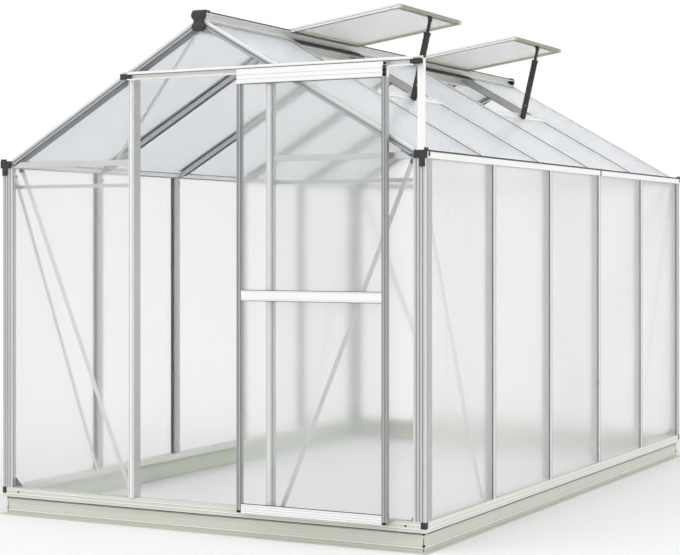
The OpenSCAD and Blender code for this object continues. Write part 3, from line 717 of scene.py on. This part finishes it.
roof_plane = roof_apex * roof_cos
slope_metal = aluminium("aluminium_slope", (30, 420, 200), (0.60, 0.605, 0.60, 1),
                        outer=((roof_sin, 0, roof_cos), roof_plane - coat))
slope_white = aluminium("white_aluminium_slope", (30, 420, 200), (0.88, 0.885, 0.88, 1), 0.4, 0.15)
dress(white_y, "ridge_beam")
dress(slope_metal, "roof_bars_left", "roof_bars_right")
# The rafters' blue-grey is painted shade tinted by a painted reflection, and the beige on their top 11 mm is
# a painted reflection
rafter_shade_metal = aluminium("rafter_aluminium_painted_shade", (30, 300, 120), (0.22, 0.26, 0.32, 1), 0.4, 0.3,
                      ((roof_sin, 0, roof_cos), roof_plane - 0.011), (0.76, 0.73, 0.69, 1))
dress(rafter_shade_metal, "front_rafters", "back_rafters")

lips, under = [], []
for side in (-1, 1):
    for end in (-1, 1):
        y = end * (half_l + 0.0006)
        lips.append(slope_strip(side, y, -0.0022, 0.02, slope_l, 0.0022, 0.0044))
        under.append(slope_strip(side, y, -0.0232, 0.045, slope_l, 0.0022, 0.0034))
piece(lips, "rafter_lips", slope_white)
piece(under, "rafter_beads", slope_metal)

# Seals beside each bar's cap, and thin dark strips along its web and inner lip that are painted shade lines
seals, web_shade = [], []
for side in (-1, 1):
    for y in bar_ys:
        for edge in (-1, 1):
            at = y + edge * (cap_w + seal_w) / 2
            seals.append(slope_strip(side, at, -seal_out / 2, 0.048, slope_l, seal_w, seal_out))
            at = y + edge * 0.0078
            web_shade.append(slope_strip(side, at, -0.0352, 0.05, slope_l - 0.01, 0.0022, 0.0026))
            if side == -1 or edge == 1:
                at = y + edge * 0.0030
                web_shade.append(slope_strip(side, at, -0.0086, 0.06, slope_l - 0.012, 0.0026, 0.0030))
piece(seals, "roof_seals", seal_grey)
piece(web_shade, "roof_bar_shade_lines", rubber)


def ridge_strip(x, drop, width, height, short=0.0):
    """A strip along the ridge beam, this far under its top and short of its ends."""
    z = ridge_high.z - drop
    return strip((x, ridge_low.y + short, z), (x, ridge_high.y - short, z), width, height)


cap_hood = 0.024
tops = [ridge_strip(x, 0, width, height, cap_hood)
        for x, width, height in ((-0.029, 0.003, 0.003), (0.029, 0.003, 0.003), (0, 0.008, 0.004))]
piece(tops, "ridge_ribs", metal_y)
beads = []
for side in (-1, 1):
    beads.append(ridge_strip(side * 0.0352, 0.0026, 0.0060, 0.0050))
    beads.append(ridge_strip(side * 0.0392, 0.0385, 0.0026, 0.0022))
piece(beads, "ridge_seals", rubber)

seats = []
for side in (-1, 1):
    for y in bar_ys + [end * (half_l - 0.033) for end in (-1, 1)]:
        for down in (0.055, slope_l - 0.05):
            seats.append(facing(on_slope(side, down, y, -0.034), -slope_out(side), y))
piece(copies(nut, seats), "roof_bolts", bolt_metal)

# ---------- ridge end caps ----------
# Moulded black caps that plug the ridge beam's ends: a broad head, a waist and a foot,
# with a hood that laps back over the beam. Each is one soft-edged moulding.

caps_low, caps_high = corners_of("ridge_end_caps")
cap_depth = caps_high.y - half_l
head_z, foot_z = caps_high.z - 0.021, caps_low.z + 0.019


def cap_lobe(x_half, radius, z, depth):
    """A flat oval moulding round a height, standing on the plane y = 0."""
    lobe = cylinder(40, radius, depth, (0, depth / 2, z), (math.pi / 2, 0, 0))
    for side in (-1, 1):
        bpy.ops.object.mode_set(mode="EDIT")
        bpy.ops.mesh.select_all(action="DESELECT")
        bpy.ops.object.mode_set(mode="OBJECT")
        for vertex in lobe.data.vertices:
            vertex.select = side * vertex.co.x > 1e-5
        bpy.ops.object.mode_set(mode="EDIT")
        bpy.ops.transform.translate(value=(side * (x_half - radius), 0, 0))
        bpy.ops.object.mode_set(mode="OBJECT")
    return round_edges(lobe, 0.0022, 2)


cap_parts = [cap_lobe(0.0315, 0.0195, head_z, cap_depth),
             cap_lobe(0.029, 0.0175, foot_z, cap_depth),
             block((-0.0215, 0, foot_z), (0.0215, cap_depth - 0.0015, head_z), 0.0015, 2),
             block((-0.030, -0.030, ridge_high.z), (0.030, 0.006, ridge_high.z + 0.0072), 0.002, 2),
             block((-0.020, cap_depth - 0.003, head_z - 0.004),
                   (0.020, cap_depth - 0.0002, head_z + 0.004), 0.001)]
ridge_cap = joined(*cap_parts)
seats = [Matrix.Translation((0, half_l, 0)),
         Matrix.Translation((0, -half_l, 0)) @ Matrix.Diagonal((1, -1, 1, 1))]
ridge_caps = piece(copies(ridge_cap, seats), "ridge_caps", black_plastic, angle=40)
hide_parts("ridge_end_caps")

# ---------- roof vents ----------
# Two top-hung vents in the right slope, on the ridge beam's hinge bead: an olive-tinted
# frame round a pane, with moulded corner keys, and a sill across the bay under each.

vent_open = math.radians(8.2)
hinge_x, hinge_z = ridge_high.x - 0.007, ridge_high.z - 0.004
vent_l, vent_t, vent_rail = 0.512, 0.016, 0.020
vent_x0, vent_gap = 0.0043, 0.004
vent_ys = [(bar_ys[0] + bar_ys[1]) / 2, (bar_ys[2] + bar_ys[3]) / 2]
vent_half = (pitch - vent_gap) / 2
vent_faces = (-vent_t / 2, vent_t / 2 - 0.0006)


def on_vent(along, y, out):
    """A point on a raised vent: along it from the hinge, and out of it."""
    turn_cos, turn_sin = math.cos(vent_open), math.sin(vent_open)
    return Vector((hinge_x + along * turn_cos - out * turn_sin, y,
                   hinge_z + along * turn_sin + out * turn_cos))


vent_out = Vector((-math.sin(vent_open), 0, math.cos(vent_open)))
vent_metal = aluminium("vent_aluminium", (420, 30, 420), (0.50, 0.52, 0.39, 1), 0.36, 0.5)
dress(vent_metal, "vent_frames")
dress(slope_white, "vent_sills")


def down_vent(y, out, width, height, start=vent_x0, end=vent_l, edge=0.0003):
    """A strip along a vent, from its hinge towards its free edge."""
    return strip(on_vent(start, y, out), on_vent(end, y, out), width, height, vent_out, edge)


def across_vent(along, y, out, width, height, short=0.004, edge=0.0003):
    """A strip across a vent, short of its sides, about the vent's middle."""
    reach = vent_half - short
    return strip(on_vent(along, y - reach, out), on_vent(along, y + reach, out), width, height,
                 vent_out, edge)


lines, keys, corners, coats, screw_seats = [], [], [], [], []
for y in vent_ys:
    for side in (-1, 1):
        edge_y = y + side * vent_half
        for off in (0.003, 0.0085, 0.014):
            lines += [down_vent(y + side * (vent_half - off), face, 0.0014, 0.001) for face in vent_faces]
        lines.append(down_vent(y + side * (vent_half + 0.0006), 0.001, 0.001, 0.0022))
        coats.append(down_vent(edge_y, -0.0004, 0.0014, 0.0145))
        corners.append(down_vent(y + side * (vent_half - 0.012), -0.001, 0.0252, vent_t - 0.001,
                                 vent_l - 0.024, vent_l + 0.0012, 0.0014))
        for along in (0.03, vent_l * 0.5, vent_l - 0.04):
            screw_seats.append(facing(on_vent(along, edge_y, -0.001), (0, side, 0), along))
    for along in (0.009, 0.016, 0.0225, vent_l - 0.004, vent_l - 0.011, vent_l - 0.0185):
        keys += [across_vent(along, y, face, 0.0022, 0.0012) for face in vent_faces]
    keys += [across_vent(vent_l, y, out, 0.0014, 0.0024) for out in (-0.004, 0.003)]
piece(lines, "vent_frame_lines", seal_grey)
piece(keys, "vent_rail_lines", rubber)

# A strip beside the ridge fills the head of each vent's opening, with four seals on it
header_short = 0.014
strips, slots = [], []
for y in vent_ys:
    ys = [y + end * (vent_half - header_short) for end in (-1, 1)]
    strips.append(strip(*[on_slope(1, 0.0685, at, 0.0015) for at in ys], 0.043, 0.003, slope_out(1)))
    for down in (0.050, 0.0625, 0.075, 0.0875):
        slots.append(strip(*[on_slope(1, down, at, 0.0045) for at in ys], 0.003, 0.006, slope_out(1)))
piece(strips, "vent_header_strips", vent_metal)
piece(slots, "vent_header_seals", rubber)
piece(corners, "vent_corner_keys", vent_metal)
piece(coats, "vent_side_coats", white_x)
piece(copies(cap_screw, screw_seats), "vent_screws", bolt_metal)
hinge_beads = [across_vent(0.0056, y, 0.0015, 0.0035, 0.0125, 0, 0.0012) for y in vent_ys]
piece(hinge_beads, "vent_hinge_beads", vent_metal)

# ---------- vent stays ----------
# Flat moulded stays with a row of peg holes and notched edges. The narrow neck at the
# top pins between two lugs on the vent, and the foot pins between two on the sill.

sill_up = 0.015
sill_down = (corners_of("vent_sills")[0].x + sill_up * roof_sin) / roof_cos
stay_foot = on_slope(1, sill_down + 0.021, 0, 0.014)
stay_head = on_vent(vent_l - vent_rail / 2, 0, -vent_t / 2 - 0.014)
stay_l = (stay_head - stay_foot).length
stay_w, stay_t = 0.028, 0.008
neck_l, neck_w = 0.052, 0.013
neck_z = stay_l - neck_l


def peg(radius, x, z, depth=0.03):
    """A round peg along Y."""
    return cylinder(20, radius, depth, (x, 0, z), (math.pi / 2, 0, 0))


def flat(half, low, high, edge, proud=0.0):
    """A block of the stay's thickness, of a half width, between two heights."""
    thick = stay_t / 2 + proud
    return block((-half, -thick, low), (half, thick, high), edge, 2)


blade = flat(stay_w / 2, -0.010, neck_z, 0.0012)
for part in (flat(neck_w / 2, neck_z - 0.004, stay_l - 0.002, 0.001),
             round_edges(peg(0.0085, 0, stay_l, stay_t), 0.0008),
             flat(0.0155, neck_z - 0.012, neck_z - 0.002, 0.0016, 0.001),
             round_edges(peg(stay_w / 2, 0, -0.006, stay_t), 0.0008)):
    cut(blade, part, "UNION")
cut(blade, peg(0.0034, 0, stay_l))
cut(blade, peg(0.0036, 0, 0.002))
hole_pitch, first_hole = 0.026, 0.022
for n in range(int((neck_z - 0.03) / hole_pitch)):
    z = first_hole + n * hole_pitch
    cut(blade, peg(0.0036 if n == 1 else 0.0016, 0, z))
    for side in (-1, 1):
        cut(blade, peg(0.0026, side * (stay_w / 2 + 0.0008), z + hole_pitch / 2))

lean = (stay_head - stay_foot).normalized()
turn = Matrix((Vector((0, 1, 0)).cross(lean), (0, 1, 0), lean)).transposed().to_4x4()
stays = copies(blade, [Matrix.Translation(stay_foot + Vector((0, y, 0))) @ turn for y in vent_ys])
bpy.data.objects.remove(blade, do_unlink=True)
stay_plastic = moulded("dark_stay", (0.028, 0.023, 0.020), 0.45)
pin = round_edges(peg(0.003, 0, 0, 0.022), 0.0005)
lug_off, foot_sink, lug_reach = 0.0068, 0.0128, 0.014
roof_out = slope_out(1)
for y in vent_ys:
    head, foot = stay_head + Vector((0, y, 0)), stay_foot + Vector((0, y, 0))
    stays += copies(pin, [Matrix.Translation(head), Matrix.Translation(foot)])
    for side in (-1, 1):
        off = Vector((0, side * lug_off, 0))
        for low, high in ((head + off - vent_out * 0.007, head + off + vent_out * lug_reach),
                          (foot + off - roof_out * lug_reach, foot + off + roof_out * 0.006)):
            stays.append(strip(low, high, 0.004, 0.014, (1, 0, 0), 0.0008))
    plate = foot - roof_out * foot_sink
    half = Vector((0, 0.014, 0))
    stays.append(strip(plate - half, plate + half, 0.024, 0.0025, roof_out, 0.0008))
bpy.data.objects.remove(pin, do_unlink=True)
stay_piece = piece(stays, "notched_stays", stay_plastic)
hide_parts("vent_stays")

# ---------- panes ----------
# Twin-wall polycarbonate sheets with ribs inside: the end walls and the door take a clear
# sheet, and the side walls and the roof a frosted one. The ribs run up walls and slopes.

twin_wall = node_group(
    "twin_wall",
    {"Across": (VECTOR, (0, 1, 0)), "Pitch": (FLOAT, 0.01), "Shade": (FLOAT, 0.05),
     "Colour": (COLOUR, (0.9, 0.95, 1.0, 1)), "Roughness": (FLOAT, 0.2)},
    {"Colour": COLOUR, "Roughness": FLOAT, "Height": FLOAT})
tree = twin_wall
given = add(tree, "NodeGroupInput").outputs
place = object_place(tree)
across = add(tree, "ShaderNodeVectorMath", {0: place, 1: given["Across"]},
             operation="DOT_PRODUCT").outputs["Value"]
cell = calc(tree, "PINGPONG", calc(tree, "DIVIDE", across, given["Pitch"]), 0.5)
rib = calc(tree, "MULTIPLY", calc(tree, "SUBTRACT", 0.16, cell), 6.0)
rib = calc(tree, "MAXIMUM", rib, 0.0)
dust = noise(tree, place, 160.0, 2.0)
shade = calc(tree, "MULTIPLY", rib, given["Shade"])
shade = calc(tree, "SUBTRACT", 1.0, calc(tree, "ADD", shade, calc(tree, "MULTIPLY", dust, 0.02)))
toned = add(tree, "ShaderNodeHueSaturation", {"Value": shade, "Color": given["Colour"]})
rough = calc(tree, "MULTIPLY_ADD", rib, 0.02, given["Roughness"])
add(tree, "NodeGroupOutput", {"Colour": toned.outputs[0], "Roughness": rough, "Height": rib})


def polycarbonate(name, across, colour, roughness, clear, shade):
    """A twin-wall sheet: which way its ribs repeat, its tint, its frosting, how much light
    goes straight on, and how dark its ribs show."""
    made, tree, shader = surface(name, IOR=1.12, Transmission_Weight=clear, Specular_IOR_Level=0.5)
    sheet = group_node(tree, twin_wall, {
        "Across": across, "Colour": colour, "Roughness": roughness, "Shade": shade})
    feed(tree, shader, sheet["Colour"], sheet["Roughness"])
    bump(tree, shader, sheet["Height"], 0.03, 0.0002)
    return made


clear_x = polycarbonate("clear_sheet_ends", (1, 0, 0), (0.985, 0.992, 0.99, 1), 0.13, 0.9, 0.035)
frosted_y = polycarbonate("frosted_sheet_sides", (0, 1, 0), (0.99, 0.993, 0.99, 1), 0.27, 0.86, 0.035)
roof_sheet = polycarbonate("roof_sheet", (0, 1, 0), (0.955, 0.972, 1.0, 1), 0.26, 0.68, 0.03)
vent_sheet = polycarbonate("vent_sheet", (0, 1, 0), (0.97, 0.985, 0.97, 1), 0.26, 0.75, 0.03)
dress(clear_x, "panes_front_wall", "panes_back_wall", "panes_front_gable", "panes_back_gable",
      "door_panes")
dress(frosted_y, "panes_left_wall", "panes_right_wall")
dress(roof_sheet, "panes_roof_left", "panes_roof_right")
dress(vent_sheet, "vent_panes")

# ---------- gable posts and end wall seals ----------
# Posts beside the doorway and in the back gable. Rubber seals close each pane edge, and
# nuts hold the eave bars to the posts.

dress(metal_z, "back_posts")
post_metal = aluminium("door_post_aluminium", along_z, outer=((0, 1, 0), half_l + 0.007))
dress(post_metal, "door_posts")
posts_low, posts_high = corners_of("door_posts")
post_face_w = 0.023
door_half = posts_high.x
back_x = door_half - post_face_w / 2
front_seal_top, back_seal_top = 1.737, 1.70
seals, bolts = [], []
for side in (-1, 1):
    for x in (door_half - post_face_w + 0.004, door_half - 0.004):
        seals.append(upright(side * x, posts_low.y, 0.0016, 0.0012, (0, 1, 0), front_seal_top))
    y = half_l - seal_out / 2
    for edge in (-1, 1):
        x = side * back_x + edge * (cap_w + seal_w) / 2
        seals.append(upright(x, y, seal_w, seal_out, (0, 1, 0), back_seal_top))
    for z in (sill_top + 0.02, wall_top + 0.012):
        bolts.append(facing((side * (back_x - 0.003), -half_l + wall_depth, z), (0, 1, 0), z))
        bolts.append(facing((side * back_x, half_l - wall_depth, z), (0, -1, 0), z))
piece(seals, "end_wall_seals", seal_grey)
piece(copies(nut, bolts), "end_wall_bolts", bolt_metal)

# ---------- door track ----------
# A white channel across the front gable that the door hangs in and slides along. Black
# moulded ends close it, and a short post from the gutter carries its right end.

dress(white_x, "door_track")
dress(black_plastic, "door_track_caps")
dress(white_z, "door_track_post")
track_low, track_high = corners_of("door_track")


def track_strip(out_y, up, width, height, short=0.0):
    """A strip along the track, short of its ends."""
    y, z = track_low.y + out_y, track_low.z + up
    return strip((track_low.x + short, y, z), (track_high.x - short, y, z), width, height)


liner = [track_strip(0.0158, 0.0125, 0.0006, 0.016, 0.042)]
piece(liner, "track_shadow_liner", seal_grey)
flanges = [track_strip(0, up, 0.0016, 0.0022) for up in (0.001, 0.0238)]
piece(flanges, "track_flanges", white_x)
covers = []
cover_l, tongue_l = 0.034, 0.045
for x, inward in ((track_low.x, 1), (track_high.x, -1)):
    a, b = sorted((x, x + inward * cover_l))
    covers.append(block((a, track_low.y - 0.0008, track_low.z - 0.001),
                        (b, track_low.y + 0.014, track_low.z + 0.026), 0.002, 2))
    a, b = sorted((x + inward * cover_l, x + inward * tongue_l))
    covers.append(block((a, track_low.y + 0.001, track_low.z + 0.003),
                        (b, track_low.y + 0.014, track_low.z + 0.022), 0.0015, 2))
piece(covers, "track_end_covers", black_plastic)
# A dark strip just under the track's front lip is painted shadow
piece([track_strip(0.001, 0.0195, 0.002, 0.0022, 0.03)], "track_lip_shadow", rubber)

# ---------- sliding door ----------
# A light framed leaf that hangs from two rollers: stiles, a ribbed foot rail, a middle
# rail and a ribbed top rail. Black plugs close the stiles' feet and the top rail's end.

stile_metal = aluminium("stile_aluminium", along_z, (0.40, 0.405, 0.405, 1), 0.34, 0.7)
dress(stile_metal, "door_stiles")
dress(white_x, "door_rails", "door_top_rail")
dress(black_plastic, "door_rollers")
leaf_low, leaf_high = corners_of("door_stiles")
top_low, top_high = corners_of("door_top_rail")
stile_w = 0.020
rail_low, rail_high = corners_of("door_rails")
face_y = leaf_low.y
in_x = (leaf_low.x + stile_w, leaf_high.x - stile_w)
bottom_rail_h, middle_rail_h = 0.033, rail_high.z - 0.890
line_y, line_t = face_y + 0.00058, 0.0012
across_top = (top_low.x, top_high.x)
# The grey lines across the rails are painted shade in the grooves between their ribs
ribs = ([(in_x, rail_low.z + up, 0.0022) for up in (0.007, 0.0165, 0.026)]
        + [(in_x, rail_high.z - drop, 0.0018) for drop in (0.004, 0.0315)]
        + [(across_top, top_low.z + up, 0.0022) for up in (0.0010, 0.0165, 0.0325)])
lines = [strip((x0, line_y, z), (x1, line_y, z), line_t, height) for (x0, x1), z, height in ribs]
rail_groove_shade = moulded("rail_groove_painted_shade", (0.42, 0.42, 0.41), 0.6, 1400.0)
piece(lines, "door_rail_shade_lines", rail_groove_shade, "door")


def stile_line(x, low, high, width):
    """An upright strip let into the face of a stile."""
    return strip((x, line_y, low), (x, line_y, high), width, line_t, (0, 1, 0))


seals = []
stile_groove = 0.0068
for x, inward in ((leaf_low.x, 1), (leaf_high.x, -1)):
    for off, width in ((stile_groove, 0.0030), (stile_w - 0.0014, 0.0026)):
        seals.append(stile_line(x + inward * off, leaf_low.z + 0.006, leaf_high.z, width))
pane_seal_y = face_y + 0.006
for z in (rail_low.z + bottom_rail_h + 0.001, rail_high.z - middle_rail_h - 0.001,
          rail_high.z + 0.001, leaf_high.z - 0.001):
    seals.append(strip((in_x[0], pane_seal_y, z), (in_x[1], pane_seal_y, z), 0.004, 0.0022))
piece(seals, "door_seals", rubber, "door")

feet = []
for x, inward in ((leaf_low.x, 1), (leaf_high.x, -1)):
    a, b = sorted((x + inward * 0.0004, x + inward * (stile_w - 0.0004)))
    feet.append(block((a, face_y, leaf_low.z), (b, face_y + 0.0206, leaf_low.z + 0.010), 0.0012, 2))
# The top rail ends in a short stile piece with a black plug over it
plug_z = top_high.z - 0.013
feet.append(block((leaf_high.x - 0.015, face_y, plug_z),
                  (leaf_high.x, face_y + 0.0046, top_high.z - 0.0002), 0.001, 2))
piece(feet, "door_end_plugs", black_plastic, "door")
cover = block((leaf_high.x - 0.0175, face_y, top_low.z), (leaf_high.x, face_y + 0.004, plug_z), 0.0006)
piece([cover], "door_rail_end", stile_metal, "door")
piece([stile_line(leaf_high.x - stile_groove, top_low.z, plug_z, 0.0030)], "door_rail_end_seal",
      rubber, "door")

seats = []
for x in (leaf_low.x + stile_w / 2, leaf_high.x - stile_w / 2):
    for z in (rail_low.z + 0.016, rail_high.z - middle_rail_h / 2, top_low.z + 0.016):
        seats.append(facing((x, face_y + 0.020, z), (0, 1, 0), z))
piece(copies(cap_screw, seats), "door_screws", bolt_metal, "door")

# ---------- clearing away the patterns ----------
# The first of each repeated piece was only a pattern for its copies, so it goes.

for pattern in (base_screw, foot_plate, nut, cap_screw, stopper, spacer, ridge_cap):
    bpy.data.objects.remove(pattern, do_unlink=True)

# ---------- floor, light and camera ----------
# A pale studio floor that keeps a soft shadow, an even white surround and two broad lamps,
# from the front left and the right. The camera looks level from 1.1 m up, off the front
# right corner.

bpy.ops.mesh.primitive_plane_add(size=60, location=(0, 0, -0.0005))
floor = settle(bpy.context.object)
floor.name = "studio_floor"
made, tree, shader = surface("studio_floor", Roughness=0.9, Specular_IOR_Level=0.1)
place = object_place(tree)
tone = noise(tree, place, 0.8, 2.0)
tone = blend(tree, tone, (0.90, 0.90, 0.895, 1), (0.915, 0.915, 0.91, 1))
tree.links.new(tone, shader.inputs["Base Color"])
floor.data.materials.append(made)

world = bpy.data.worlds.new("studio")
bpy.context.scene.world = world
world.use_nodes = True
tree = world.node_tree
sky = tree.nodes["Background"]
sky.inputs["Color"].default_value = (1.0, 1.0, 1.0, 1)
path = add(tree, "ShaderNodeLightPath").outputs
seen = calc(tree, "MAXIMUM", path["Is Glossy Ray"], path["Is Transmission Ray"])
seen = calc(tree, "MAXIMUM", path["Is Camera Ray"], seen)
tree.links.new(calc(tree, "MULTIPLY_ADD", seen, 0.30, 0.70), sky.inputs["Strength"])


def lamp(name, direction, strength, spread):
    """A broad lamp, far off in a direction, whose light is even over the whole floor."""
    light = bpy.data.lights.new(name, "SUN")
    light.energy = strength
    light.angle = math.radians(spread)
    holder = bpy.data.objects.new(name, light)
    bpy.context.collection.objects.link(holder)
    holder.rotation_euler = Vector(direction).to_track_quat("Z", "Y").to_euler()


lamp("key_lamp", (-0.5, -0.8, 1.1), 1.0, 60)
lamp("side_lamp", (1.0, -0.25, 0.7), 0.9, 60)

lens = bpy.data.cameras.new("camera")
lens.sensor_width = 36
lens.lens = 89.33
lens.shift_y = -0.054
lens.clip_end = 200
camera = bpy.data.objects.new("camera", lens)
bpy.context.collection.objects.link(camera)
camera.location = (3.4836, -6.9864, 1.1125)
camera.rotation_euler = (math.radians(90), 0, math.radians(27.898))
bpy.context.scene.camera = camera
bpy.context.scene.view_settings.view_transform = "Standard"
